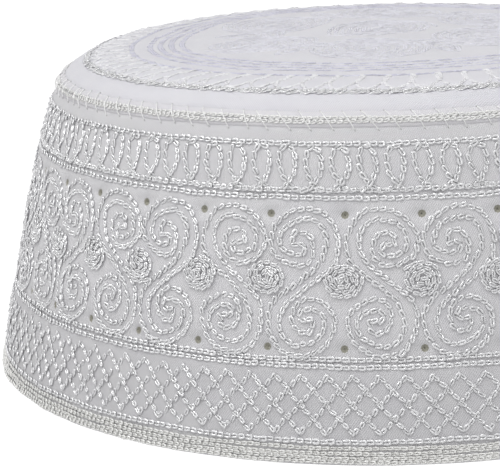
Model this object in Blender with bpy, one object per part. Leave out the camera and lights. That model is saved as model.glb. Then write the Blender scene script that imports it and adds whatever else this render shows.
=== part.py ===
"""A round embroidered cotton cap, standing on its rim.

The side is one tapered wall of quilted cloth, pierced by two rows of eyelets.
The crown is a shallow disc of the same cloth that turns down over the shoulder,
and a whipped ridge sews the two together. Lengths are metres, +Z is up, and the
origin is the centre of the rim, on the surface that the cap stands on.
"""

import math

import bmesh
import bpy
from mathutils import Matrix, Vector

# Outer face of the cap, from the rim to the middle of the crown
RIM_RADIUS = 0.092
SIDE_HEIGHT = 0.062
SIDE_TOP_RADIUS = 0.078
SIDE_BULGE = 0.0007
CROWN_EDGE_RADIUS = 0.0637
CROWN_EDGE_HEIGHT = 0.073
CROWN_RISE = 0.0024

# Cloth
WALL = 0.0018
EDGE_ROUNDING = 0.0004
GAP = 0.0003

# Ridge between side and crown, placed by its distance from the rim along the cloth
SEAM_PLACE = 0.0689
SEAM_HALF_HEIGHT = 0.0012
SEAM_HALF_DEPTH = 0.0014
SEAM_SUNK = 0.0006
SEAM_SIDES = 8

# Eyelets, placed the same way
EYELETS_ROUND = 34
EYELET_PLACES = (0.0233, 0.0500)
EYELET_PHASE = math.radians(-95.5)
EYELET_RADIUS = 0.00075
EYELET_SIDES = 8
CUTTER_LENGTH = 0.006

# Fineness of the meshes
SIDE_STEPS = EYELETS_ROUND * 3
CROWN_STEPS = EYELETS_ROUND * 2
SIDE_ROWS_OUTSIDE = 6
SIDE_ROWS_INSIDE = 4
SHOULDER_ROWS = 6
CROWN_ROWS = 4
OUTLINE_SAMPLES = 60
MERGE = 0.00005

CLOTH_COLOR = (0.66, 0.65, 0.66, 1.0)
THREAD_COLOR = (0.80, 0.80, 0.80, 1.0)


def side_point(share):
    """A point (radius, height) of the side's outer face, from 0 at the rim to 1 at the shoulder."""
    radius = RIM_RADIUS + (SIDE_TOP_RADIUS - RIM_RADIUS) * share
    return Vector((radius + SIDE_BULGE * 4 * share * (1 - share), SIDE_HEIGHT * share))


def crown_point(radius):
    """A point of the crown's flat dome."""
    return Vector((radius, CROWN_EDGE_HEIGHT + CROWN_RISE * (1 - (radius / CROWN_EDGE_RADIUS) ** 2)))


def shoulder_corner():
    """Where the side's line and the crown's line would meet if the shoulder weren't round."""
    lean = (SIDE_TOP_RADIUS - RIM_RADIUS - 4 * SIDE_BULGE) / SIDE_HEIGHT
    fall = -2 * CROWN_RISE / CROWN_EDGE_RADIUS
    at_side = SIDE_TOP_RADIUS - lean * SIDE_HEIGHT
    height = (CROWN_EDGE_HEIGHT + fall * (at_side - CROWN_EDGE_RADIUS)) / (1 - fall * lean)
    return Vector((at_side + lean * height, height))


def cap_outline():
    """The outer face as a fine line of points, rim first, and the distance to each."""
    shares = [i / OUTLINE_SAMPLES for i in range(OUTLINE_SAMPLES + 1)]
    points = [side_point(share) for share in shares]
    start, corner, end = side_point(1), shoulder_corner(), crown_point(CROWN_EDGE_RADIUS)
    for share in shares[1:]:
        first = start.lerp(corner, share)
        points.append(first.lerp(corner.lerp(end, share), share))
    points += [crown_point(CROWN_EDGE_RADIUS * (1 - share)) for share in shares[1:]]
    distances = [0.0]
    for before, after in zip(points, points[1:]):
        distances.append(distances[-1] + (after - before).length)
    return points, distances


OUTLINE, DISTANCES = cap_outline()
FULL_LENGTH = DISTANCES[-1]
SHOULDER_END = DISTANCES[2 * OUTLINE_SAMPLES]


def place_on_cap(distance):
    """The point (radius, height) this far along the cloth from the rim, and the direction out of the cloth."""
    last = len(DISTANCES) - 2
    i = next((i for i in range(last) if DISTANCES[i + 1] >= distance), last)
    step = OUTLINE[i + 1] - OUTLINE[i]
    point = OUTLINE[i] + step * ((distance - DISTANCES[i]) / step.length)
    return point, Vector((step.y, -step.x)).normalized()


def inside_point(distance):
    point, outwards = place_on_cap(distance)
    return point - outwards * WALL


def spaced(start, end, count):
    return [start + (end - start) * i / count for i in range(count + 1)]


def side_section():
    """The wall's closed section, down the outer face and up the inner one."""
    top = SEAM_PLACE - SEAM_HALF_HEIGHT - GAP
    outside = [place_on_cap(d)[0] for d in spaced(top - EDGE_ROUNDING, EDGE_ROUNDING, SIDE_ROWS_OUTSIDE)]
    inside = [inside_point(d) for d in spaced(2 * EDGE_ROUNDING, top - EDGE_ROUNDING, SIDE_ROWS_INSIDE)]
    _, outwards = place_on_cap(0)
    inner_rim = RIM_RADIUS - WALL / outwards.x
    rim = [Vector((RIM_RADIUS - EDGE_ROUNDING, 0)), Vector((inner_rim + EDGE_ROUNDING, 0))]
    top_point, top_outwards = place_on_cap(top)
    edge = [top_point - top_outwards * (WALL - EDGE_ROUNDING), top_point - top_outwards * EDGE_ROUNDING]
    return outside + rim + inside + edge


def crown_section():
    """The disc's section, from the middle of its outer face round its edge to the middle of its inner face."""
    edge = SEAM_PLACE + SEAM_HALF_HEIGHT + GAP
    shoulder = spaced(edge + EDGE_ROUNDING, SHOULDER_END, SHOULDER_ROWS)
    flat = spaced(SHOULDER_END, FULL_LENGTH, CROWN_ROWS)[1:]
    places = shoulder + flat
    outside = [place_on_cap(d)[0] for d in reversed(places)]
    inside = [inside_point(d) for d in places]
    outside[0].x = 0
    inside[-1].x = 0
    edge_point, outwards = place_on_cap(edge)
    lip = [edge_point - outwards * EDGE_ROUNDING, edge_point - outwards * (WALL - EDGE_ROUNDING)]
    return outside + lip + inside


def seam_section():
    """The ridge's oval section, proud of the cloth on both sides of the joint."""
    point, outwards = place_on_cap(SEAM_PLACE)
    upwards = Vector((-outwards.y, outwards.x))
    middle = point - outwards * SEAM_SUNK
    section = []
    for i in range(SEAM_SIDES):
        turn = math.tau * i / SEAM_SIDES
        across = outwards * math.sin(turn) * SEAM_HALF_DEPTH
        section.append(middle + upwards * math.cos(turn) * SEAM_HALF_HEIGHT + across)
    return section


def principled(name, color, roughness, sheen):
    material = bpy.data.materials.new(name)
    material.use_nodes = True
    shader = material.node_tree.nodes["Principled BSDF"]
    shader.inputs["Base Color"].default_value = color
    shader.inputs["Roughness"].default_value = roughness
    shader.inputs["Metallic"].default_value = 0.0
    shader.inputs["Sheen Weight"].default_value = sheen
    return material


def turned(name, section, closed, steps, material, parent):
    """An object whose section is turned once round the Z axis."""
    count = len(section)
    edges = [(i, i + 1) for i in range(count - 1)]
    if closed:
        edges.append((count - 1, 0))
    mesh = bpy.data.meshes.new(name)
    mesh.from_pydata([(point.x, 0, point.y) for point in section], edges, [])
    mesh.materials.append(material)
    piece = bpy.data.objects.new(name, mesh)
    bpy.context.scene.collection.objects.link(piece)
    piece.parent = parent
    screw = piece.modifiers.new("Turn", "SCREW")
    screw.steps = steps
    screw.render_steps = steps
    screw.use_merge_vertices = True
    screw.merge_threshold = MERGE
    screw.use_smooth_shade = True
    return piece


def eyelet_cutter(parent):
    """One prism for each eyelet, square to the cloth and longer than it is thick."""
    tools = bmesh.new()
    for distance in EYELET_PLACES:
        point, outwards = place_on_cap(distance)
        for i in range(EYELETS_ROUND):
            around = Matrix.Rotation(EYELET_PHASE + math.tau * i / EYELETS_ROUND, 4, "Z")
            lean = Vector((outwards.x, 0, outwards.y)).to_track_quat("Z", "Y").to_matrix().to_4x4()
            place = around @ Matrix.Translation((point.x, 0, point.y)) @ lean
            bmesh.ops.create_cone(
                tools, cap_ends=True, segments=EYELET_SIDES, radius1=EYELET_RADIUS,
                radius2=EYELET_RADIUS, depth=CUTTER_LENGTH, matrix=place,
            )
    mesh = bpy.data.meshes.new("eyelet_cutter")
    tools.to_mesh(mesh)
    tools.free()
    cutter = bpy.data.objects.new("eyelet_cutter", mesh)
    bpy.context.scene.collection.objects.link(cutter)
    cutter.parent = parent
    cutter.hide_render = True
    cutter.display_type = "WIRE"
    return cutter


def pierce(piece, cutter):
    cut = piece.modifiers.new("Eyelets", "BOOLEAN")
    cut.operation = "DIFFERENCE"
    cut.object = cutter


for old in list(bpy.data.objects):
    bpy.data.objects.remove(old)

cap = bpy.data.objects.new("cap", None)
bpy.context.scene.collection.objects.link(cap)

side = turned(
    "side_band", side_section(), True, SIDE_STEPS, principled("side_cloth", CLOTH_COLOR, 0.85, 0.2), cap
)
pierce(side, eyelet_cutter(cap))
turned("crown", crown_section(), False, CROWN_STEPS, principled("crown_cloth", CLOTH_COLOR, 0.85, 0.2), cap)
turned(
    "crown_seam", seam_section(), True, SIDE_STEPS, principled("seam_thread", THREAD_COLOR, 0.45, 0.3), cap
)
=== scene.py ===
import math

import bpy
import numpy as np
from mathutils import Matrix, Vector


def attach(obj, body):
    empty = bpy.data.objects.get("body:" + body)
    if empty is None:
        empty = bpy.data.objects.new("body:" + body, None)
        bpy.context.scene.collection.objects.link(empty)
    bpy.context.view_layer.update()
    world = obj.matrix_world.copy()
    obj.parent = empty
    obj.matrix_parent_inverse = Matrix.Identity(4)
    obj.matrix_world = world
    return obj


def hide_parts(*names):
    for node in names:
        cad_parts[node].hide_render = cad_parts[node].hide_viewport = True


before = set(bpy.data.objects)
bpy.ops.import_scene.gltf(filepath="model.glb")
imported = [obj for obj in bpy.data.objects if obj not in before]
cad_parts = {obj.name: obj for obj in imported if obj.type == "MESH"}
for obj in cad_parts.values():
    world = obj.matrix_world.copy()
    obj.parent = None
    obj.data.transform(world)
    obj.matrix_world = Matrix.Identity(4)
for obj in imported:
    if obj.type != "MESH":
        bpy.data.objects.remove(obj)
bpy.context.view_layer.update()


# The side of the cap: a strip of white cotton in two layers, quilted stiff by the stitches that cover
# it and punched with an awl in two rows. It leans in from the rim and bends in under the shoulder.
# One slice with its two eyelets is charted flat in millimetres, and a tree sets thirty-four round.
MM = 0.001
RIM_RADIUS = 92.0
SIDE_HEIGHT = 62.0
SIDE_TOP_RADIUS = 78.0
SIDE_BULGE = 0.3
CROWN_EDGE_RADIUS = 63.7
CROWN_EDGE_HEIGHT = 73.0
CROWN_RISE = 2.4
WALL = 1.8
EDGE_ROUNDING = 0.4
OUTLINE_STEPS = 80

EYELETS = 34
EYELET_ROWS = (23.3, 50.0)
EYELET_RADIUS = 0.88
# The dent that the awl leaves behind an eyelet: rings of radius and lift, and the pinhole inside
EYELET_DISH = ((0.74, -0.3), (0.14, -0.5))
EYELET_INNER_RADIUS = 0.05
# The corners of the chart's grid round an eyelet's middle, as steps of row and column
EYELET_CORNERS = ((-1, -1), (-1, 0), (-1, 1), (0, 1), (1, 1), (1, 0), (1, -1), (0, -1))
FIRST_EYELET = math.radians(-95.5)
CHART_RADIUS = 86.0
ROUND = math.tau * CHART_RADIUS
PITCH = ROUND / EYELETS

SIDE_TOP = 68.3
CROWN_START = 70.4
ROWS_UNDER_EYELETS = 17
ROWS_BETWEEN_EYELETS = 20
ROWS_OVER_EYELETS = 13
SIDE_COLUMNS = 8

# What the lines of stitches pull in and what is left free to puff out: distances from the rim, and
# how wide each pull or puff is
PULLED_IN = ((2.8, 2.4), (20.6, 1.3), (54.3, 1.6), (64.2, 0.9), (76.5, 1.5))
PULL = 0.25
PUFFED_OUT = ((73.3, 1.6), (12.6, 4.0))
PUFF = 0.18

# White cotton with lilac patches, darker near the rim by painted shade where less light reaches the lower
# wall, with the ribs of its twill and a few slubs
COTTON = (0.775, 0.77, 0.775)
LILAC = (0.95, 0.945, 0.985)
PATCH_BRIGHT = 1.04
PATCH_GRAIN = 0.11
# How dark the painted shade at the rim is, and the distances from the rim over which it fades out
RIM_PAINTED_SHADE = 0.88
PAINTED_SHADE_FADES = (14.0, 34.0)
TWILL_RIB = 0.5
TWILL_SLANT = -0.7
TWILL_DARK = 0.045
TWILL_RELIEF = 0.00008
SLUB_GRAIN = 1.6
SLUB_HEIGHT = 1.2
# Painted shade inside the eyelets' dents
EYELET_SHADE = (0.4, 0.39, 0.33)


def cap_outline():
    """The outer face from the rim to the middle of the crown, as rows of radius and height."""
    share = np.linspace(0, 1, OUTLINE_STEPS + 1)[:, None]
    bulge = SIDE_BULGE * 4 * share * (1 - share)
    side = np.hstack([RIM_RADIUS + (SIDE_TOP_RADIUS - RIM_RADIUS) * share + bulge, SIDE_HEIGHT * share])
    crown_radius = CROWN_EDGE_RADIUS * (1 - share)
    crown_height = CROWN_EDGE_HEIGHT + CROWN_RISE * (1 - (1 - share) ** 2)
    crown = np.hstack([crown_radius, crown_height])
    lean = (SIDE_TOP_RADIUS - RIM_RADIUS - 4 * SIDE_BULGE) / SIDE_HEIGHT
    fall = -2 * CROWN_RISE / CROWN_EDGE_RADIUS
    foot = SIDE_TOP_RADIUS - lean * SIDE_HEIGHT
    height = (CROWN_EDGE_HEIGHT + fall * (foot - CROWN_EDGE_RADIUS)) / (1 - fall * lean)
    corner = np.array([foot + lean * height, height])
    shoulder = (1 - share) ** 2 * side[-1] + 2 * share * (1 - share) * corner + share ** 2 * crown[0]
    return np.vstack([side, shoulder[1:], crown[1:]])


OUTLINE = cap_outline()
ALONG = np.concatenate([[0], np.cumsum(np.linalg.norm(np.diff(OUTLINE, axis=0), axis=1))])
CROWN_MIDDLE = ALONG[-1]
RUN = np.gradient(OUTLINE, ALONG, axis=0)
OUTWARDS = np.stack([RUN[:, 1], -RUN[:, 0]], 1) / np.linalg.norm(RUN, axis=1)[:, None]


def relief(distance):
    """How far the cloth stands in or out where the stitches pull it or leave it free."""
    pulled = sum(np.exp(-((distance - place) / width) ** 2) for place, width in PULLED_IN)
    puffed = sum(np.exp(-((distance - place) / width) ** 2) for place, width in PUFFED_OUT)
    return PUFF * puffed - PULL * pulled


def on_cap(x, distance, lift):
    """Places in metres and directions out of the cloth, for a chart's x, distance from the rim and lift."""
    x, distance, lift = np.broadcast_arrays(x, distance, lift)
    angle = FIRST_EYELET + x / CHART_RADIUS
    radius, height = (np.interp(distance, ALONG, OUTLINE[:, i]) for i in (0, 1))
    out, up = (np.interp(distance, ALONG, OUTWARDS[:, i]) for i in (0, 1))
    lift = lift + relief(distance)
    radius = radius + lift * out
    height = np.maximum(height + lift * up, 0)
    places = np.stack([radius * np.cos(angle), radius * np.sin(angle), height], -1) * MM
    return places, np.stack([out * np.cos(angle), out * np.sin(angle), up], -1)


def add_floats(mesh, name, values):
    """Keeps a number for every corner of a mesh under a name."""
    attribute = mesh.attributes.new(name, "FLOAT", "POINT")
    attribute.data.foreach_set("value", np.ascontiguousarray(values, np.float32))


def cloth_slice(name, stations, columns, closed, eyelets=()):
    """One slice of a wall, whose stations are rows of distance and lift round its section.

    Eyelets are pairs of the outer and the inner station that lie on an eyelet's middle.
    """
    stations = np.array(stations)
    dishes = [[(stations[outer, 0], lift) for _, lift in EYELET_DISH] for outer, _ in eyelets]
    grid = np.vstack([stations] + dishes)
    x = np.tile(np.linspace(-PITCH / 2, PITCH / 2, columns + 1), (len(grid), 1))
    distance = np.tile(grid[:, :1], (1, columns + 1))
    middle = columns // 2
    walls = []
    for number, (outer, inner) in enumerate(eyelets):
        radius = np.interp(stations[outer, 0], ALONG, OUTLINE[:, 0])
        rings = [[] for _ in range(len(EYELET_DISH) + 2)]
        dish = len(stations) + number * len(EYELET_DISH)
        for i, (row, column) in enumerate(EYELET_CORNERS):
            turn = math.atan2(row, column)
            corners = [((outer + row, middle + column), EYELET_RADIUS)]
            corners += [((dish + k, i), size) for k, (size, _) in enumerate(EYELET_DISH)]
            corners.append(((inner - row, middle + column), EYELET_INNER_RADIUS))
            for ring, (place, size) in zip(rings, corners):
                x[place] = size * math.cos(turn) * CHART_RADIUS / radius
                distance[place] = stations[outer, 0] + size * math.sin(turn)
                ring.append(place)
        for near, far in zip(rings, rings[1:]):
            for i in range(len(near)):
                after = (i + 1) % len(near)
                walls.append((near[i], near[after], far[after], far[i]))
    holes = {(station, middle) for pair in eyelets for station in pair}
    faces = list(walls)
    for row in range(len(stations) if closed else len(stations) - 1):
        after = (row + 1) % len(stations)
        for column in range(columns):
            face = ((row, column), (row, column + 1), (after, column + 1), (after, column))
            if not holes.intersection(face):
                faces.append(face)
    places, _ = on_cap(x, distance, np.tile(grid[:, 1:], (1, columns + 1)))
    used = sorted({corner for face in faces for corner in face})
    index = {corner: i for i, corner in enumerate(used)}
    numbered = [[index[corner] for corner in face] for face in faces]
    rows, cells = np.array(used).T
    mesh = bpy.data.meshes.new(name)
    mesh.from_pydata(places[rows, cells].tolist(), [], numbered)
    add_floats(mesh, "chart_x", x[rows, cells])
    add_floats(mesh, "chart_s", distance[rows, cells])
    # Corners inside the eyelets, which the cotton darkens with painted shade
    inner = {corner for face in walls for corner in face[2:]}
    add_floats(mesh, "depth", [float(corner in inner) for corner in used])
    return mesh


def add_node(tree, kind, inputs=None, **settings):
    """A node with its settings made, and its inputs filled or linked, each by its name or its place."""
    made = tree.nodes.new(kind)
    for setting, value in settings.items():
        setattr(made, setting, value)
    for key, value in (inputs or {}).items():
        shown = [socket for socket in made.inputs if socket.enabled]
        socket = made.inputs[key] if isinstance(key, int) else next(s for s in shown if s.name == key)
        if isinstance(value, bpy.types.Node):
            value = output(value)
        if isinstance(value, bpy.types.NodeSocket):
            tree.links.new(value, socket)
        else:
            socket.default_value = value
    return made


def output(made, name=None):
    """A node's first output in use, or the one of that name."""
    return next(socket for socket in made.outputs if socket.enabled and name in (None, socket.name))


def math_node(tree, operation, *values):
    """A Math node with its values filled or linked in their order."""
    return add_node(tree, "ShaderNodeMath", dict(enumerate(values)), operation=operation)


def new_tree(name, **inputs):
    """A Geometry Nodes tree with named inputs, and its input and output nodes."""
    tree = bpy.data.node_groups.new(name, "GeometryNodeTree")
    tree.interface.new_socket("Geometry", in_out="INPUT", socket_type="NodeSocketGeometry")
    tree.interface.new_socket("Geometry", in_out="OUTPUT", socket_type="NodeSocketGeometry")
    for title, kind in inputs.items():
        tree.interface.new_socket(title.replace("_", " "), in_out="INPUT", socket_type="NodeSocket" + kind)
    return tree, tree.nodes.new("NodeGroupInput"), tree.nodes.new("NodeGroupOutput")


def end_tree(tree, result, geometry, material):
    """Ends a tree in one real, smooth mesh of one material."""
    real = add_node(tree, "GeometryNodeRealizeInstances", {"Geometry": geometry})
    smooth = add_node(tree, "GeometryNodeSetShadeSmooth", {"Geometry": real})
    finished = add_node(tree, "GeometryNodeSetMaterial", {"Geometry": smooth, "Material": material})
    tree.links.new(output(finished), result.inputs["Geometry"])
    return tree


# Where the pattern drifts round and where the shoulder is slack: azimuth, how narrow, two heights and
# the millimetres at each
DRIFTS = (
    (-180, 6.0, (0.023, 0.049), (7.1, 1.0)),
    (-60, 20.0, (0.023, 0.049), (0.0, 1.35)),
)
SLACK = (-170, 8.0, (0.048, 0.070), (0.0, 1.3))
SAME_PLACE = 0.00002
PUCKER_HEIGHT = 0.0011
PUCKER_GRAIN = 95.0
PUCKER_SEED = 3.0


def pucker_group():
    """Puckers cloth and stitches alike, as quilting does, and drifts them round as hand work does."""
    tree, given, result = new_tree("pucker", Height="Float", Grain="Float", Seed="Float")
    place = add_node(tree, "GeometryNodeInputPosition")
    split = add_node(tree, "ShaderNodeSeparateXYZ", {"Vector": place})
    azimuth = math_node(tree, "ARCTAN2", split.outputs["Y"], split.outputs["X"])

    def lobe(middle, sharpness, heights, sizes):
        """Millimetres that peak at one azimuth and go from one size to another with height."""
        near = math_node(tree, "COSINE", math_node(tree, "SUBTRACT", azimuth, math.radians(middle)))
        near = math_node(tree, "POWER", math_node(tree, "MULTIPLY_ADD", near, 0.5, 0.5), sharpness)
        size = add_node(tree, "ShaderNodeMapRange", {
            "Value": split.outputs["Z"], "From Min": heights[0], "From Max": heights[1],
            "To Min": sizes[0], "To Max": sizes[1],
        }, interpolation_type="SMOOTHSTEP")
        return math_node(tree, "MULTIPLY", near, output(size))

    drift = math_node(tree, "ADD", *(lobe(*row) for row in DRIFTS))
    turned = add_node(tree, "ShaderNodeVectorRotate", {
        "Vector": place, "Angle": math_node(tree, "DIVIDE", drift, CHART_RADIUS),
    }, rotation_type="Z_AXIS")
    noise = add_node(tree, "ShaderNodeTexNoise", {
        "Vector": place, "W": given.outputs["Seed"], "Scale": given.outputs["Grain"], "Detail": 2.0,
    }, noise_dimensions="4D")
    swing = math_node(tree, "SUBTRACT", output(noise), 0.5)
    height = math_node(tree, "MULTIPLY", swing, given.outputs["Height"])
    height = math_node(tree, "MULTIPLY_ADD", lobe(*SLACK), -MM, height)
    outwards = add_node(tree, "ShaderNodeVectorMath", {0: place}, operation="NORMALIZE")
    push = add_node(tree, "ShaderNodeVectorMath", {0: outwards, "Scale": height}, operation="SCALE")
    moved = add_node(tree, "GeometryNodeSetPosition", {
        "Geometry": given.outputs["Geometry"], "Position": turned, "Offset": push,
    })
    tree.links.new(output(moved), result.inputs["Geometry"])
    return tree


PUCKER = pucker_group()
PUCKER.use_fake_user = True


def puckered(tree, geometry):
    """The pucker that every piece of the cap shares."""
    return add_node(tree, "GeometryNodeGroup", {
        "Geometry": geometry, "Height": PUCKER_HEIGHT, "Grain": PUCKER_GRAIN, "Seed": PUCKER_SEED,
    }, node_tree=PUCKER)


def cloth_tree(name, laid_flat):
    """Sets copies of a slice round the axis, joins them and puckers the cloth.

    The UV map is the chart in millimetres, or, laid flat, the round cloth seen from over its middle.
    """
    tree, given, result = new_tree(name, Copies="Int", Cloth="Material")
    points = add_node(tree, "GeometryNodePoints", {"Count": given.outputs["Copies"]})
    index = add_node(tree, "GeometryNodeInputIndex")
    share = math_node(tree, "DIVIDE", output(index), given.outputs["Copies"])
    turn = math_node(tree, "MULTIPLY", share, math.tau)
    spin = add_node(tree, "ShaderNodeCombineXYZ", {"Z": turn})
    copies = add_node(tree, "GeometryNodeInstanceOnPoints", {
        "Points": points, "Instance": given.outputs["Geometry"], "Rotation": spin,
    })
    numbered = add_node(tree, "GeometryNodeStoreNamedAttribute", {
        "Geometry": copies, "Name": "shift", "Value": math_node(tree, "MULTIPLY", share, ROUND),
    }, data_type="FLOAT", domain="INSTANCE")
    real = add_node(tree, "GeometryNodeRealizeInstances", {"Geometry": numbered})
    chart_x, chart_s, shift = (
        add_node(tree, "GeometryNodeInputNamedAttribute", {"Name": title}, data_type="FLOAT")
        for title in ("chart_x", "chart_s", "shift")
    )
    if laid_flat:
        place = add_node(tree, "ShaderNodeVectorMath", {
            0: add_node(tree, "GeometryNodeInputPosition"), 1: (1.0, 1.0, 0.0),
        }, operation="MULTIPLY")
        outwards = add_node(tree, "ShaderNodeVectorMath", {0: place}, operation="NORMALIZE")
        from_middle = math_node(tree, "SUBTRACT", CROWN_MIDDLE, output(chart_s))
        chart = add_node(tree, "ShaderNodeVectorMath", {
            0: outwards, "Scale": from_middle,
        }, operation="SCALE")
    else:
        chart = add_node(tree, "ShaderNodeCombineXYZ", {
            "X": math_node(tree, "ADD", output(chart_x), output(shift)), "Y": output(chart_s),
        })
    mapped = add_node(tree, "GeometryNodeStoreNamedAttribute", {
        "Geometry": real, "Name": "UVMap", "Value": chart,
    }, data_type="FLOAT2", domain="CORNER")
    joined = add_node(tree, "GeometryNodeMergeByDistance", {"Geometry": mapped, "Distance": SAME_PLACE})
    return end_tree(tree, result, puckered(tree, joined), given.outputs["Cloth"])


def made_by(tree, name, mesh, **values):
    """The piece that a tree makes of a guide mesh, as a plain mesh object."""
    piece = bpy.data.objects.new(name, mesh)
    bpy.context.scene.collection.objects.link(piece)
    maker = piece.modifiers.new("Maker", "NODES")
    maker.node_group = tree
    sockets = {item.name: item.identifier for item in tree.interface.items_tree if item.in_out == "INPUT"}
    for title, value in values.items():
        maker[sockets[title.replace("_", " ")]] = value
    graph = bpy.context.evaluated_depsgraph_get()
    plain = bpy.data.meshes.new_from_object(
        piece.evaluated_get(graph), preserve_all_data_layers=True, depsgraph=graph
    )
    piece.modifiers.remove(maker)
    piece.data = plain
    plain.name = name
    return piece


def new_material(name, **finish):
    """A material, its nodes and its shader, whose plain sockets are set by their names."""
    material = bpy.data.materials.new(name)
    material.use_nodes = True
    shader = material.node_tree.nodes["Principled BSDF"]
    for title, value in finish.items():
        shader.inputs[title.replace("_", " ")].default_value = value
    return material, material.node_tree, shader


def cotton(name, tint=COTTON, rim_shade=1.0):
    """Fine cotton twill, with its chart as the UV map: ribs, slubs, patches, painted shade near the rim and
    painted shade in the eyelets.
    """
    material, tree, shader = new_material(
        name, Roughness=0.85, Specular_IOR_Level=0.15, Sheen_Weight=0.35, Sheen_Roughness=0.5,
    )
    chart = add_node(tree, "ShaderNodeUVMap", uv_map="UVMap")
    split = add_node(tree, "ShaderNodeSeparateXYZ", {"Vector": chart})
    slant = math_node(tree, "MULTIPLY_ADD", split.outputs["Y"], TWILL_SLANT, split.outputs["X"])
    ribs = math_node(tree, "SINE", math_node(tree, "MULTIPLY", slant, math.tau / TWILL_RIB))
    slubs = add_node(tree, "ShaderNodeTexNoise", {"Vector": chart, "Scale": SLUB_GRAIN, "Detail": 4.0})
    patches = add_node(tree, "ShaderNodeTexNoise", {"Vector": chart, "Scale": PATCH_GRAIN, "Detail": 3.0})
    height = math_node(tree, "MULTIPLY_ADD", output(slubs), SLUB_HEIGHT, ribs)
    bump = add_node(tree, "ShaderNodeBump", {"Height": height, "Strength": 0.5, "Distance": TWILL_RELIEF})
    dim = tuple(part * share for part, share in zip(tint, LILAC)) + (1,)
    bright = tuple(part * PATCH_BRIGHT for part in tint) + (1,)
    white = add_node(tree, "ShaderNodeMix", {
        "Factor": output(patches), "A": dim, "B": bright,
    }, data_type="RGBA")
    # Painted shade: the cloth grows darker towards the rim, standing in for the light that falls off down
    # the wall
    rim_shaded = add_node(tree, "ShaderNodeMapRange", {
        "Value": split.outputs["Y"], "To Min": rim_shade,
        "From Min": PAINTED_SHADE_FADES[0], "From Max": PAINTED_SHADE_FADES[1],
    }, interpolation_type="SMOOTHSTEP")
    weave = math_node(tree, "MULTIPLY_ADD", ribs, TWILL_DARK, 1.0)
    light = math_node(tree, "MULTIPLY", output(rim_shaded), weave)
    white = add_node(tree, "ShaderNodeVectorMath", {0: output(white), "Scale": light}, operation="SCALE")
    # Painted shade: each eyelet's dent and pinhole are darkened towards the colour below
    depth = add_node(tree, "ShaderNodeAttribute", attribute_name="depth")
    eyelet_shaded = add_node(tree, "ShaderNodeMix", {
        "Factor": output(depth, "Fac"), "A": output(white), "B": EYELET_SHADE + (1,),
    }, data_type="RGBA")
    tree.links.new(output(eyelet_shaded), shader.inputs["Base Color"])
    tree.links.new(output(bump), shader.inputs["Normal"])
    return material


side_rows = np.concatenate([
    np.linspace(EDGE_ROUNDING, EYELET_ROWS[0], ROWS_UNDER_EYELETS, endpoint=False),
    np.linspace(*EYELET_ROWS, ROWS_BETWEEN_EYELETS, endpoint=False),
    np.linspace(EYELET_ROWS[1], SIDE_TOP - EDGE_ROUNDING, ROWS_OVER_EYELETS + 1),
])
side_stations = [(distance, 0) for distance in side_rows]
side_stations += [(SIDE_TOP, -EDGE_ROUNDING), (SIDE_TOP, EDGE_ROUNDING - WALL)]
side_stations += [(distance, -WALL) for distance in reversed(side_rows)]
side_stations += [(0, EDGE_ROUNDING - WALL), (0, -EDGE_ROUNDING)]
lower_eyelet = ROWS_UNDER_EYELETS
upper_eyelet = ROWS_UNDER_EYELETS + ROWS_BETWEEN_EYELETS
across = 2 * len(side_rows) + 1
side_slice = cloth_slice(
    "side_slice", side_stations, SIDE_COLUMNS, True,
    [(eyelet, across - eyelet) for eyelet in (lower_eyelet, upper_eyelet)],
)
side_cloth = made_by(
    cloth_tree("side_all_round", False), "side_cloth", side_slice,
    Copies=EYELETS, Cloth=cotton("side_cotton", rim_shade=RIM_PAINTED_SHADE),
)
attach(side_cloth, "root")
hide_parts("side_band")


# The crown: a round of the same cotton, stiffened by rings of stitches, that turns down over the
# shoulder to the seam. Its slice narrows to the middle, where all the slices meet in one point.
CROWN_COLUMNS = 6
CROWN_ROWS = 50
CROWN_ROWS_INSIDE = 14
CROWN_COTTON = (0.815, 0.81, 0.84)

crown_rows = np.linspace(CROWN_START + EDGE_ROUNDING, CROWN_MIDDLE, CROWN_ROWS)
crown_rows_inside = np.linspace(CROWN_MIDDLE, CROWN_START + EDGE_ROUNDING, CROWN_ROWS_INSIDE)
crown_stations = [(distance, -WALL) for distance in crown_rows_inside]
crown_stations += [(CROWN_START, EDGE_ROUNDING - WALL), (CROWN_START, -EDGE_ROUNDING)]
crown_stations += [(distance, 0) for distance in crown_rows]
crown_slice = cloth_slice("crown_slice", crown_stations, CROWN_COLUMNS, False)
crown_cloth = made_by(
    cloth_tree("crown_all_round", True), "crown_cloth", crown_slice,
    Copies=EYELETS, Cloth=cotton("crown_cotton", CROWN_COTTON),
)
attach(crown_cloth, "root")
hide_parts("crown")


# The rows: chain stitch, four cream rows worked side by side over the hem and six white ones that
# frame the bands above. A tree sets a link, which is one bowed thread, again and again along a line.
LINK_LENGTH = 1.65
LINK_WIDTH = 1.5
LINK_HEIGHT = 0.78
LINK_LIFT = 0.12
LINK_LEAN = 0.2
LINK_UNEVEN = 0.14
# How links differ: the shares of full length, width and tone, then how far an uneven one tilts and strays
LENGTHS = (0.93, 1.10)
WIDTHS = (0.82, 1.12)
TONES = (0.90, 1.0)
TILT = 1.5
STRAY = 0.7
ROW_LEAN = 0.05
ROW_UNEVEN = 0.08
THREAD_WHITE = (0.84, 0.84, 0.86)
RIM_CREAM = (0.93, 0.925, 0.9)
THREAD_TWIST = 0.7
TWIST_SHOWS = 0.25
TWIST_RELIEF = 0.00005
FLOSS_DEPTH = 0.0004
# Finishes of thread: roughness, index of refraction, how strongly it mirrors, its sheen, and how much
# light sinks in
GLOSSY = (0.27, 1.8, 0.9, 0.2, 0.6)
SOFT = (0.42, 1.6, 0.6, 0.3, 0.6)
WORN = (0.7, 1.3, 0.2, 0.5, 0.0)
FLAT = (0.42, 1.6, 0.6, 0.3, 0.0)
RING_POINTS = 360
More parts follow.
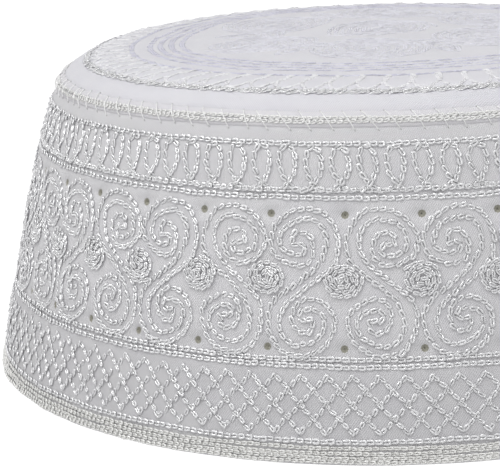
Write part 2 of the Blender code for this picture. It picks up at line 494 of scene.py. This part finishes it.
# A line wanders in two kinds of waves: how many go round, and how they shift with the distance
LINE_WAVES = ((7, 3), (19, 5))
LINE_WANDER = 0.06
LINE_START = 7.3
RIM_ROWS = (0.7, 1.5, 2.4, 3.4)
FRAME_ROWS = (4.8, 19.7, 21.1, 53.3, 54.9, 64.2)

# Half of a link's middle line, from where it comes up to its bow: along in link lengths, across and up in
# link widths, and how much light gets there
# The last number of each point is painted shade, darker where the thread dips into the cloth
STRAND = (
    (-0.66, 0.05, -0.22, 0.84),
    (-0.30, 0.16, -0.02, 0.97),
    (0.12, 0.23, 0.14, 1.0),
    (0.50, 0.15, 0.30, 1.0),
)
STRAND_RADIUS = 0.205
STRAND_SIDES = 4
# Painted shade on the thread's underside
UNDERSIDE_SHADE = 0.95


def link_mesh(name, rise):
    """One link, a length long and a width wide: a thread that comes up, bows round and goes down again."""
    half = [(x, y, z * rise) for x, y, z, _ in STRAND]
    line = [Vector(point) for point in half] + [Vector((x, -y, z)) for x, y, z in reversed(half)]
    light = [row[3] for row in STRAND + STRAND[::-1]]
    corners, shade = [line[0]], [light[0]]
    for i in range(1, len(line) - 1):
        run = (line[i + 1] - line[i - 1]).normalized()
        aside = run.cross(Vector((0, 0, 1))).normalized()
        above = aside.cross(run)
        for turn in range(STRAND_SIDES):
            angle = math.tau * turn / STRAND_SIDES
            corners.append(line[i] + (aside * math.sin(angle) + above * math.cos(angle)) * STRAND_RADIUS)
            shade.append(light[i] * (UNDERSIDE_SHADE if math.cos(angle) < -0.5 else 1))
    corners.append(line[-1])
    shade.append(light[-1])
    last, rings = len(corners) - 1, len(line) - 2
    faces, chart = [], []
    for k in range(STRAND_SIDES):
        after = (k + 1) % STRAND_SIDES
        v, v_next = k / STRAND_SIDES, (k + 1) / STRAND_SIDES
        faces.append((0, 1 + after, 1 + k))
        chart += [(0, v), (1, v_next), (1, v)]
        for i in range(rings - 1):
            here, there = 1 + STRAND_SIDES * i, 1 + STRAND_SIDES * (i + 1)
            faces.append((here + k, here + after, there + after, there + k))
            chart += [(i + 1, v), (i + 1, v_next), (i + 2, v_next), (i + 2, v)]
        faces.append((last, last - STRAND_SIDES + k, last - STRAND_SIDES + after))
        chart += [(rings + 1, v), (rings, v), (rings, v_next)]
    mesh = bpy.data.meshes.new(name)
    mesh.from_pydata(corners, [], faces)
    mesh.uv_layers.new(name="UVMap").data.foreach_set("uv", np.array(chart, np.float32).ravel())
    add_floats(mesh, "shade", shade)
    return mesh


def chain_tree():
    """Sets links along every line of a guide, facing out of the cloth, each a little different."""
    tree, given, result = new_tree(
        "chain_stitch", Link="Object", Link_Length="Float", Link_Width="Float", Link_Height="Float",
        Lean="Float", Uneven="Float", Seed="Int", Thread="Material",
    )
    curve = add_node(tree, "GeometryNodeMeshToCurve", {"Mesh": given.outputs["Geometry"]})
    even = add_node(tree, "GeometryNodeResampleCurve", {
        "Curve": curve, "Length": given.outputs["Link Length"],
    }, mode="LENGTH")
    outwards = add_node(tree, "GeometryNodeInputNamedAttribute", {
        "Name": "outwards",
    }, data_type="FLOAT_VECTOR")
    facing = add_node(tree, "FunctionNodeAxesToRotation", {
        0: add_node(tree, "GeometryNodeInputTangent"), 1: outwards,
    }, primary_axis="X", secondary_axis="Z")

    def at_random(low, high, offset):
        """A number of its own for each link."""
        seed = math_node(tree, "ADD", given.outputs["Seed"], offset)
        return add_node(tree, "FunctionNodeRandomValue", {
            "Min": low, "Max": high, "Seed": seed,
        }, data_type="FLOAT")

    uneven = given.outputs["Uneven"]
    lean = math_node(tree, "MULTIPLY_ADD", at_random(-1.0, 1.0, 1), uneven, given.outputs["Lean"])
    tilt = math_node(tree, "MULTIPLY", at_random(-TILT, TILT, 2), uneven)
    wobble = add_node(tree, "ShaderNodeCombineXYZ", {"X": tilt, "Z": lean})
    turned = add_node(tree, "FunctionNodeRotateRotation", {0: facing, 1: wobble}, rotation_space="LOCAL")
    width = math_node(tree, "MULTIPLY", given.outputs["Link Width"], at_random(*WIDTHS, 3))
    length = math_node(tree, "MULTIPLY", given.outputs["Link Length"], at_random(*LENGTHS, 5))
    scale = add_node(tree, "ShaderNodeCombineXYZ", {
        "X": length, "Y": width, "Z": given.outputs["Link Height"],
    })
    stray = math_node(tree, "MULTIPLY", given.outputs["Link Width"], uneven)
    aside = add_node(tree, "FunctionNodeRandomValue", {
        "Min": (-STRAY,) * 3, "Max": (STRAY,) * 3, "Seed": math_node(tree, "ADD", given.outputs["Seed"], 6),
    }, data_type="FLOAT_VECTOR")
    shaken = add_node(tree, "GeometryNodeSetPosition", {
        "Geometry": even,
        "Offset": add_node(tree, "ShaderNodeVectorMath", {0: aside, "Scale": stray}, operation="SCALE"),
    })
    link = add_node(tree, "GeometryNodeObjectInfo", {"Object": given.outputs["Link"]})
    links = add_node(tree, "GeometryNodeInstanceOnPoints", {
        "Points": puckered(tree, shaken), "Instance": output(link, "Geometry"),
        "Rotation": turned, "Scale": scale,
    })
    toned = add_node(tree, "GeometryNodeStoreNamedAttribute", {
        "Geometry": links, "Name": "tone", "Value": at_random(*TONES, 4),
    }, data_type="FLOAT", domain="INSTANCE")
    return end_tree(tree, result, toned, given.outputs["Thread"])


def twisted_thread(name, tint=THREAD_WHITE, finish=GLOSSY, painted_shade=1.0):
    """Loosely twisted viscose thread: very white, with painted shade where it dips into the cloth and on its
    underside.
    """
    roughness, index, mirrors, sheen, sinks_in = finish
    material, tree, shader = new_material(
        name, Roughness=roughness, IOR=index, Specular_IOR_Level=mirrors, Sheen_Weight=sheen,
        Subsurface_Weight=sinks_in, Subsurface_Radius=(1, 1, 1), Subsurface_Scale=FLOSS_DEPTH,
    )
    shade = add_node(tree, "ShaderNodeAttribute", attribute_name="shade")
    tone = add_node(tree, "ShaderNodeAttribute", attribute_name="tone")
    # Painted shade from the link's shade attribute, made stronger or weaker by the power
    shade_painted = math_node(tree, "POWER", output(shade, "Fac"), painted_shade)
    value = math_node(tree, "MULTIPLY", shade_painted, output(tone, "Fac"))
    parts = [math_node(tree, "MULTIPLY", value, part) for part in tint]
    color = add_node(tree, "ShaderNodeCombineColor", dict(enumerate(parts)))
    chart = add_node(tree, "ShaderNodeUVMap", uv_map="UVMap")
    split = add_node(tree, "ShaderNodeSeparateXYZ", {"Vector": chart})
    along = math_node(tree, "MULTIPLY", split.outputs["X"], math.tau * THREAD_TWIST)
    turn = math_node(tree, "MULTIPLY_ADD", split.outputs["Y"], math.tau, along)
    bump = add_node(tree, "ShaderNodeBump", {
        "Height": math_node(tree, "SINE", turn), "Strength": TWIST_SHOWS, "Distance": TWIST_RELIEF,
    })
    tree.links.new(output(color), shader.inputs["Base Color"])
    tree.links.new(output(bump), shader.inputs["Normal"])
    return material


def ring(distance):
    """A line all round at one distance from the rim, which wanders a little as hand-led work does."""
    turn = np.linspace(0, math.tau, RING_POINTS, endpoint=False)
    wander = sum(np.sin(waves * turn + shift * distance) for waves, shift in LINE_WAVES)
    along = turn * CHART_RADIUS + LINE_START * distance
    return np.stack([along, distance + LINE_WANDER * wander], 1), True


def guide(name, lines, lift):
    """A mesh of the lines' edges, bent on to the cap, that keeps the direction out of the cloth."""
    places, outwards, edges = [], [], []
    for line, closed in lines:
        first = sum(len(part) for part in places)
        there, out = on_cap(line[:, 0], line[:, 1], lift)
        places.append(there)
        outwards.append(out)
        edges += [(first + i, first + i + 1) for i in range(len(line) - 1)]
        if closed:
            edges.append((first + len(line) - 1, first))
    mesh = bpy.data.meshes.new(name + "_guide")
    mesh.from_pydata(np.vstack(places).tolist(), edges, [])
    mesh.attributes.new("outwards", "FLOAT_VECTOR", "POINT").data.foreach_set(
        "vector", np.vstack(outwards).astype(np.float32).ravel()
    )
    return mesh


LINK = bpy.data.objects.new("link", link_mesh("link", 1.0))
CHAIN = chain_tree()
THREAD = twisted_thread("chain_thread")


def embroider(
    name, lines, seed, length=LINK_LENGTH, width=LINK_WIDTH, height=LINK_HEIGHT, lift=LINK_LIFT,
    thread=THREAD, lean=LINK_LEAN, uneven=LINK_UNEVEN, link=LINK,
):
    """Chain stitch along lines of chart points, each with whether it is closed."""
    return made_by(
        CHAIN, name, guide(name, lines, lift), Link=link, Link_Length=length * MM, Link_Width=width * MM,
        Link_Height=height * MM, Lean=lean, Uneven=uneven, Seed=seed, Thread=thread,
    )


rim_rows = embroider(
    "rim_rows", [ring(distance) for distance in RIM_ROWS], seed=10, length=1.45, width=1.15, height=0.95,
    thread=twisted_thread("rim_thread", RIM_CREAM, SOFT), lean=ROW_LEAN, uneven=ROW_UNEVEN,
)
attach(rim_rows, "root")

frame_rows = embroider(
    "frame_rows", [ring(distance) for distance in FRAME_ROWS], seed=11, length=1.6, width=1.6,
    lean=ROW_LEAN, uneven=ROW_UNEVEN,
)
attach(frame_rows, "root")


# The trellis: four zigzags of chain stitch that cross each other in the band above the hem. Each
# straight run goes from a peak to the valley two columns on, or back up.
TRELLIS_FOOT = 6.3
TRELLIS_TOP = 17.8
TRELLIS_COLUMNS = 104
TRELLIS_START = 1.7
TRELLIS_PHASES = 4
RUN_POINTS = 6
TIP = 0.045

column_width = ROUND / TRELLIS_COLUMNS
trellis_lines = []
for phase in range(TRELLIS_PHASES):
    for run in range(TRELLIS_COLUMNS // 2):
        start, end = (TRELLIS_FOOT, TRELLIS_TOP) if run % 2 else (TRELLIS_TOP, TRELLIS_FOOT)
        share = np.linspace(TIP, 1 - TIP, RUN_POINTS)
        column = phase + 2 * (run + share)
        height = start + (end - start) * share
        trellis_lines.append((np.stack([TRELLIS_START + column * column_width, height], 1), False))
trellis = embroider("trellis", trellis_lines, seed=20, length=1.6, width=1.3)
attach(trellis, "root")


# The scroll frieze: between each two eyelets, one ribbon of two chain lines winds out of a spiral at
# the top, crosses the middle and winds into a spiral at the foot. Every second ribbon is mirrored.
SCROLL_MIDDLE = 36.5
# How far the spirals of each kind of ribbon, plain or mirrored, upper or lower, sit from the middle of
# their gap
SCROLL_DRIFTS = {(1, 1): 0.1, (1, -1): 0.6, (-1, 1): 0.8, (-1, -1): 0.8}
LOWER_NARROWER = 0.955
SCROLL_DRIFT_RISE = 6.0
# Half of each line, from the middle of the ribbon to the heart of the upper spiral: across and up
OUTER_LINE = (
    (0.0, -1.1), (-3.96, 1.8), (-6.4, 3.8), (-7.4, 6.5), (-7.3, 9.0), (-6.2, 11.8), (-4.0, 14.0),
    (-0.2, 14.7), (3.1, 13.8), (5.6, 11.8), (6.9, 9.0), (6.7, 6.5), (5.2, 4.7), (2.7, 3.5),
    (0.2, 3.5), (-1.7, 5.0), (-2.1, 7.2), (-1.25, 9.2), (0.8, 10.0), (2.4, 9.2), (2.3, 8.2),
)
INNER_LINE = (
    (0.0, 1.1), (-1.7, 2.5), (-3.3, 4.0), (-4.6, 6.3), (-4.9, 8.5), (-4.2, 10.8), (-2.1, 12.5),
    (0.6, 12.5), (3.1, 11.5), (4.6, 10.0), (5.0, 8.0), (4.2, 6.4), (2.3, 5.5), (0.2, 5.6),
    (-0.5, 6.7), (0.4, 7.8), (1.5, 7.5),
)


def smooth_line(points, steps=6):
    """A smooth curve through the points, which are rows of any width."""
    points = np.array(points, float)
    held = np.vstack([2 * points[0] - points[1], points, 2 * points[-1] - points[-2]])
    curve = []
    for before, start, end, after in zip(held, held[1:], held[2:], held[3:]):
        for share in np.arange(steps) / steps:
            curve.append(0.5 * (
                2 * start + (end - before) * share + (2 * before - 5 * start + 4 * end - after) * share ** 2
                + (3 * start - before - 3 * end + after) * share ** 3
            ))
    return np.array(curve + [points[-1]])


def scroll_ribbon(gap, upper):
    """Both lines of one half of the ribbon in a gap, worked one way and back the other."""
    mirror = 1 if gap % 2 == 0 else -1
    turn = 1 if upper else -1
    middle = np.array([(gap + 0.5) * PITCH, SCROLL_MIDDLE])
    lines = []
    for half in (OUTER_LINE, INNER_LINE):
        line = smooth_line(half) * (mirror * turn, turn)
        drift = np.clip(np.abs(line[:, 1]) / SCROLL_DRIFT_RISE, 0, 1)
        line[:, 0] *= 1 if upper else LOWER_NARROWER
        line[:, 0] -= drift * SCROLL_DRIFTS[mirror, turn]
        worked_outwards = (half is OUTER_LINE) == (mirror > 0)
        lines.append((middle + line[::1 if worked_outwards else -1], False))
    return lines


for name, upper, seed in (("scrolls_upper", True, 30), ("scrolls_lower", False, 31)):
    halves = [line for gap in range(EYELETS) for line in scroll_ribbon(gap, upper)]
    scrolls = embroider(name, halves, seed)
    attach(scrolls, "root")


# The rosettes: an oval coil of chain stitch over each place where two ribbons come together, between
# the eyelets of the upper row and those of the lower. It is worked after the ribbons and lies on them.
ROSETTE_PLACE = 37.0
ROSETTE_SHIFT = -0.4
ROSETTE_WIDE = 4.0
ROSETTE_TALL = 3.5
ROSETTE_TURNS = 3.4
ROSETTE_HEART = 0.06
ROSETTE_LIFT = 0.4
ROSETTE_POINTS = 70
# How much further round each coil starts than the one before it
ROSETTE_SPIN = 2.4

coil_turn = np.linspace(0, math.tau * ROSETTE_TURNS, ROSETTE_POINTS)
coil_size = np.linspace(1, ROSETTE_HEART, len(coil_turn))
rosette_lines = []
for eyelet in range(EYELETS):
    start = ROSETTE_SPIN * eyelet
    middle = np.array([eyelet * PITCH + ROSETTE_SHIFT, ROSETTE_PLACE])
    oval = np.stack([ROSETTE_WIDE * np.cos(start - coil_turn), ROSETTE_TALL * np.sin(start - coil_turn)], 1)
    rosette_lines.append((middle + oval * coil_size[:, None], False))
rosettes = embroider(
    "rosettes", rosette_lines, seed=40, length=1.45, width=1.2, height=0.6, lift=ROSETTE_LIFT,
    thread=twisted_thread("rosette_thread", painted_shade=0.4),
)
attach(rosettes, "root")


# The loop row: one long line of chain stitch that runs round in loops like a row of the letter e,
# between the framing rows under the shoulder.
LOOPS = 92
LOOP_START = -2.4
LOOP_MIDDLE = 59.2
LOOP_HALF_WIDE = 3.15
LOOP_HALF_TALL = 4.35
LOOP_LEAN = -0.3
LOOP_STEPS = 24

loop_turn = np.arange(LOOPS * LOOP_STEPS)[::-1] * math.tau / LOOP_STEPS
loop_line = np.stack([
    LOOP_START + ROUND / LOOPS * loop_turn / math.tau
    + LOOP_HALF_WIDE * np.cos(loop_turn) + LOOP_LEAN * np.sin(loop_turn),
    LOOP_MIDDLE + LOOP_HALF_TALL * np.sin(loop_turn),
], 1)
loop_row = embroider("loop_row", [(loop_line, True)], seed=50)
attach(loop_row, "root")


# The seam: the crown's edge is folded under and laid over the top of the side as a low ledge. Two rows
# of chain stitch run along it side by side, and a thinner thread whips it down in slanting stitches.
LEDGE_STEPS = 340
LEDGE_SIDE = 0.8
# The ledge's section, as distances from the rim and lifts
LEDGE = (
    (67.45, -1.2), (67.45, 0.02), (67.55, 0.22), (67.9, 0.34), (68.8, 0.4), (69.8, 0.32), (70.6, 0.15),
    (71.3, -0.12), (70.9, -1.2),
)
SEAM_LINES = ((68.45, 0.48), (69.25, 0.48))
SEAM_CREAM = (0.96, 0.955, 0.94)
LEDGE_COTTON = (0.82, 0.81, 0.825)
WHIPS = 109
WHIP_START = -2.4
WHIP_FOOT = 66.7
WHIP_TOP = 71.3
WHIP_SLANT = 3.6
WHIP_THREAD = 0.11
WHIP_SIDES = 5
WHIP_RISE = 0.95
WHIP_ARCH = 0.7
WHIP_SUNK = 0.15
# How far whips differ from each other in place, slant and reach
WHIP_SHAKE = 0.3
WHIP_SHAKES = (1, 2, 0.4)
# Painted shade at both ends of a whip, where it goes into its needle hole, and how much of the whip it
# covers
PRICK_SHADE = 0.5
PRICK_SHARE = 0.07
MOTTLE_GRAIN = 900.0
MOTTLE_DARK = 0.92


def settled_tree():
    """Puckers a ready mesh as the cloth and stitches next to it."""
    tree, given, result = new_tree("settled", Cloth="Material")
    return end_tree(tree, result, puckered(tree, given.outputs["Geometry"]), given.outputs["Cloth"])


ledge_x = np.linspace(0, ROUND, LEDGE_STEPS, endpoint=False)[:, None]
ledge_section = np.array(LEDGE)
ledge_places, _ = on_cap(ledge_x, ledge_section[:, 0], ledge_section[:, 1])
ledge_faces, ledge_chart = [], []
for step in range(LEDGE_STEPS):
    here, there = step * len(LEDGE), (step + 1) % LEDGE_STEPS * len(LEDGE)
    for side in range(len(LEDGE)):
        after = (side + 1) % len(LEDGE)
        ledge_faces.append((here + side, there + side, there + after, here + after))
        for u, v in ((0, side), (1, side), (1, side + 1), (0, side + 1)):
            ledge_chart.append(((step + u) * ROUND / LEDGE_STEPS, LEDGE_SIDE * v))
ledge_mesh = bpy.data.meshes.new("seam_ledge")
ledge_mesh.from_pydata(ledge_places.reshape(-1, 3).tolist(), [], ledge_faces)
ledge_mesh.uv_layers.new(name="UVMap").data.foreach_set("uv", np.array(ledge_chart, np.float32).ravel())
seam_ledge = made_by(settled_tree(), "seam_ledge", ledge_mesh, Cloth=cotton("ledge_cotton", LEDGE_COTTON))
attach(seam_ledge, "root")
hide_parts("crown_seam")

seam_thread = twisted_thread("seam_thread", SEAM_CREAM, SOFT, painted_shade=0.5)
for i, (place, lift) in enumerate(SEAM_LINES):
    seam_line = embroider(
        f"seam_line_{i + 1}", [ring(place)], seed=60 + i, length=1.3, width=1.15, height=0.7, lift=lift,
        thread=seam_thread, lean=0.1, uneven=ROW_UNEVEN,
    )
    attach(seam_line, "root")


def thread_tree():
    """Makes every line of a guide a round thread."""
    tree, given, result = new_tree("plain_thread", Thread_Radius="Float", Thread="Material")
    curve = add_node(tree, "GeometryNodeMeshToCurve", {"Mesh": given.outputs["Geometry"]})
    section = add_node(tree, "GeometryNodeCurvePrimitiveCircle", {
        "Resolution": WHIP_SIDES, "Radius": given.outputs["Thread Radius"],
    })
    solid = add_node(tree, "GeometryNodeCurveToMesh", {
        "Curve": puckered(tree, curve), "Profile Curve": section, "Fill Caps": True,
    })
    return end_tree(tree, result, solid, given.outputs["Thread"])


def plain_thread(name):
    """The same viscose as a single twisted thread, with painted shade at its ends."""
    material, tree, shader = new_material(name, Roughness=0.4, Sheen_Weight=0.2)
    place = add_node(tree, "ShaderNodeTexCoord")
    mottle = add_node(tree, "ShaderNodeTexNoise", {"Vector": output(place, "Object"), "Scale": MOTTLE_GRAIN})
    white = add_node(tree, "ShaderNodeMapRange", {"Value": output(mottle), "To Min": MOTTLE_DARK})
    shade = add_node(tree, "ShaderNodeAttribute", attribute_name="shade")
    tone = math_node(tree, "MULTIPLY", output(white), output(shade, "Fac"))
    tree.links.new(output(tone), shader.inputs["Base Color"])
    return material


whip_random = np.random.default_rng(7)
whip_share = np.array([0, 0.05, 0.1, 0.22, 0.36, 0.5, 0.64, 0.78, 0.9, 0.95, 1])
whip_rise = np.sin(whip_share * math.pi) ** WHIP_ARCH * WHIP_RISE - WHIP_SUNK
# Painted shade at the whip's ends, for the needle holes
whip_shade = np.where((whip_share < PRICK_SHARE) | (whip_share > 1 - PRICK_SHARE), PRICK_SHADE, 1)
whip_places, whip_edges = [], []
for whip in range(WHIPS):
    place, slant, reach = whip_random.normal(0, WHIP_SHAKE, 3) * WHIP_SHAKES
    x = WHIP_START + ROUND / WHIPS * whip + place + (whip_share - 1) * (WHIP_SLANT + slant)
    there, _ = on_cap(x, WHIP_TOP + (WHIP_FOOT - WHIP_TOP) * whip_share + reach, whip_rise)
    first = len(whip_places)
    whip_places += there.tolist()
    whip_edges += [(first + i, first + i + 1) for i in range(len(there) - 1)]
whip_guide = bpy.data.meshes.new("whip_guide")
whip_guide.from_pydata(whip_places, whip_edges, [])
add_floats(whip_guide, "shade", np.tile(whip_shade, WHIPS))
whip_stitches = made_by(
    thread_tree(), "whip_stitches", whip_guide,
    Thread_Radius=WHIP_THREAD * MM, Thread=plain_thread("whip_thread"),
)
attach(whip_stitches, "root")


# The crown's embroidery: a thick braid of two chain lines round the edge, a band of slanting loops,
# five rings, and round whorls with leaves between them over the middle.
BRAID_ROW = 77.0
BRAID_SWING = 0.6
BRAID_WAVES = 170
BRAID_STEPS = 8
CROWN_THREAD = (0.89, 0.885, 0.965)
RING_THREAD = (0.79, 0.78, 0.91)
CROWN_LINK_RISE = 0.12
CROWN_HEIGHT = 0.36
CROWN_LIFT = 0.0
CROWN_LENGTH = 1.6
CROWN_WIDTH = 1.45
RING_WIDTH = 1.8
CROWN_UNEVEN = 0.03
CROWN_LOOPS = 74
CROWN_LOOP_RADIUS = 64.0
CROWN_LOOP_HALF_WIDE = 1.5
CROWN_LOOP_HALF_TALL = 4.6
CROWN_LOOP_LEAN = 0.2
CROWN_LOOP_THREAD = (0.95, 0.945, 0.975)
CROWN_RINGS = (59.0, 54.5, 52.0, 49.5, 47.0)
WHORLS = 6
WHORL_RADIUS = 13.6
WHORL_PLACE = 30.0
WHORL_PITCH = 1.75
LEAF_PLACES = (34.0, 25.5)
LEAF_LONG = 5.0
LEAF_WIDE = 2.3
LEAF_POINTS = 28
LEAF_INSIDE = 0.45
LEAF_POINTED = 0.35
HEART_RADIUS = 13.0
HEART_MIDDLE = (0.01, 0.0)
COIL_POINTS = 40
COIL_FILLS = 0.93


def from_middle(radius):
    """The distance from the rim along the cloth of a place on the crown, by its radius."""
    return np.interp(radius, OUTLINE[::-1, 0], ALONG[::-1])


def on_crown(x, y):
    """Chart points for places seen from straight over the crown."""
    angle = np.arctan2(y, x)
    return np.stack([(angle - FIRST_EYELET) * CHART_RADIUS, from_middle(np.hypot(x, y))], 1)


braid_turn = np.arange(BRAID_WAVES * BRAID_STEPS) * math.tau / BRAID_STEPS
braid_lines = []
for swing in (BRAID_SWING, -BRAID_SWING):
    braid_x = braid_turn / BRAID_WAVES * CHART_RADIUS
    braid_lines.append((np.stack([braid_x, BRAID_ROW + swing * np.sin(braid_turn)], 1), True))
crown_braid = embroider("crown_braid", braid_lines, seed=70, length=1.3, width=1.1, height=0.65)
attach(crown_braid, "root")

CROWN_LINK = bpy.data.objects.new("crown_link", link_mesh("crown_link", CROWN_LINK_RISE))


def embroider_crown(name, lines, seed, width, tint):
    """Flatter, more even chain stitch in the crown's worn, lilac thread, pressed half into the cloth."""
    return embroider(
        name, lines, seed, length=CROWN_LENGTH, width=width, height=CROWN_HEIGHT, lift=CROWN_LIFT,
        thread=twisted_thread(name + "_thread", tint, WORN, painted_shade=0.05), uneven=CROWN_UNEVEN, link=CROWN_LINK,
    )


crown_turn = np.arange(CROWN_LOOPS * LOOP_STEPS) * math.tau / LOOP_STEPS
crown_across = CROWN_LOOP_HALF_TALL * np.sin(crown_turn)
crown_loop_radius = CROWN_LOOP_RADIUS - crown_across
crown_loop_arc = CROWN_LOOP_HALF_WIDE * np.cos(crown_turn) + CROWN_LOOP_LEAN * crown_across
crown_loop_angle = crown_turn / CROWN_LOOPS + crown_loop_arc / CROWN_LOOP_RADIUS
crown_loop_line = np.stack([crown_loop_angle * CHART_RADIUS, from_middle(crown_loop_radius)], 1)
crown_loops = embroider(
    "crown_loops", [(crown_loop_line, True)], seed=71, length=1.2, width=1.1, height=0.8, lift=CROWN_LIFT,
    uneven=0.1, link=CROWN_LINK,
    thread=twisted_thread("crown_loop_thread", CROWN_LOOP_THREAD, FLAT, painted_shade=1.6),
)
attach(crown_loops, "root")

ring_lines = [ring(from_middle(radius)) for radius in CROWN_RINGS]
crown_rings = embroider_crown("crown_rings", ring_lines, seed=72, width=RING_WIDTH, tint=RING_THREAD)
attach(crown_rings, "root")


def spiral(middle, radius, start):
    """A coil of chain stitch that fills a round, seen from over the crown."""
    turns = radius / WHORL_PITCH
    turn = np.linspace(0, math.tau * turns, int(turns * COIL_POINTS))
    size = radius * (1 - turn / turn[-1] * COIL_FILLS)
    return on_crown(middle[0] + size * np.cos(start + turn), middle[1] + size * np.sin(start + turn)), False


def leaf(middle, angle):
    """A pointed leaf of chain stitch with a second one inside it."""
    turn = np.linspace(0, math.tau, LEAF_POINTS, endpoint=False)
    lines = []
    for size in (1, LEAF_INSIDE):
        along = LEAF_LONG * size * np.cos(turn)
        across = LEAF_WIDE * size * np.sin(turn) * (1 - LEAF_POINTED * np.cos(turn))
        lines.append((on_crown(
            middle[0] + along * math.cos(angle) - across * math.sin(angle),
            middle[1] + along * math.sin(angle) + across * math.cos(angle),
        ), True))
    return lines


medallion_lines = [spiral(HEART_MIDDLE, HEART_RADIUS, 0.0)]
for whorl in range(WHORLS):
    angle = FIRST_EYELET + math.tau * whorl / WHORLS
    middle = (WHORL_PLACE * math.cos(angle), WHORL_PLACE * math.sin(angle))
    medallion_lines.append(spiral(middle, WHORL_RADIUS, angle))
    between = angle + math.pi / WHORLS
    for place, turned in zip(LEAF_PLACES, (0.0, math.pi / 2)):
        middle = (place * math.cos(between), place * math.sin(between))
        medallion_lines += leaf(middle, between + turned)
crown_medallion = embroider_crown(
    "crown_medallion", medallion_lines, seed=73, width=CROWN_WIDTH, tint=CROWN_THREAD,
)
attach(crown_medallion, "root")


# The room: a white floor that runs out of sight, an even white sky and a large soft lamp over the cap,
# with two small lamps, one at the left and one high in front, that only make the thread's gloss glint.
FLOOR_SIZE = 6.0
SKY = 0.62
SKY_SEEN = 1.0
# Each lamp: power, size, place, and whether it lights more than the gloss of the thread
LAMPS = {
    "soft_lamp": (3.7, 0.9, (-0.2, -0.4, 0.86), True),
    "gloss_lamp_left": (7.0, 0.25, (-0.75, -0.1, 0.6), False),
    "gloss_lamp_front": (3.9, 0.25, (0.1, -0.3, 0.92), False),
}
LAMP_AIM = Vector((0, 0, 0.05))

floor_mesh = bpy.data.meshes.new("floor")
reach = FLOOR_SIZE / 2
floor_mesh.from_pydata(
    [(-reach, -reach, 0), (reach, -reach, 0), (reach, reach, 0), (-reach, reach, 0)], [], [(0, 1, 2, 3)]
)
floor_material, _, _ = new_material(
    "floor_white", Base_Color=(0.9, 0.9, 0.9, 1), Roughness=0.9,
    Emission_Color=(1, 1, 1, 1), Emission_Strength=0.6,
)
floor_mesh.materials.append(floor_material)
floor = bpy.data.objects.new("floor", floor_mesh)
bpy.context.scene.collection.objects.link(floor)
floor.visible_diffuse = False

world = bpy.data.worlds.new("studio")
world.use_nodes = True
sky = world.node_tree.nodes["Background"]
seen = add_node(world.node_tree, "ShaderNodeLightPath")
strength = add_node(world.node_tree, "ShaderNodeMapRange", {
    "Value": output(seen, "Is Camera Ray"), "To Min": SKY, "To Max": SKY_SEEN,
})
world.node_tree.links.new(output(strength), sky.inputs["Strength"])
sky.inputs["Color"].default_value = (1, 1, 1, 1)
bpy.context.scene.world = world
bpy.context.scene.view_settings.view_transform = "Standard"

for name, (power, size, place, lights_all) in LAMPS.items():
    lamp_data = bpy.data.lights.new(name, "AREA")
    lamp_data.energy = power
    lamp_data.size = size
    lamp = bpy.data.objects.new(name, lamp_data)
    lamp.location = place
    lamp.rotation_euler = (LAMP_AIM - lamp.location).to_track_quat("-Z", "Y").to_euler()
    lamp.visible_diffuse = lights_all
    bpy.context.scene.collection.objects.link(lamp)


# The camera: half a metre from the middle of the rim, a little above it, with the cap filling the
# frame and running out of it at the right.
CAMERA_DISTANCE = 0.498993
CAMERA_RISE = math.radians(16.207)
CAMERA_TURN = math.radians(3.821)
CAMERA_TILT = math.radians(90 - 13.23)
CAMERA_ROLL = math.radians(-1.971)
LENS = 147.82

camera_data = bpy.data.cameras.new("camera")
camera_data.sensor_width = 36.0
camera_data.lens = LENS
camera_data.clip_start = 0.01
camera = bpy.data.objects.new("camera", camera_data)
bpy.context.scene.collection.objects.link(camera)
camera_place = Matrix.Translation((
    0, -CAMERA_DISTANCE * math.cos(CAMERA_RISE), CAMERA_DISTANCE * math.sin(CAMERA_RISE),
))
camera_turn = Matrix.Rotation(CAMERA_TURN, 4, "Z") @ Matrix.Rotation(CAMERA_TILT, 4, "X")
camera.matrix_world = camera_place @ camera_turn @ Matrix.Rotation(CAMERA_ROLL, 4, "Z")
bpy.context.scene.camera = camera
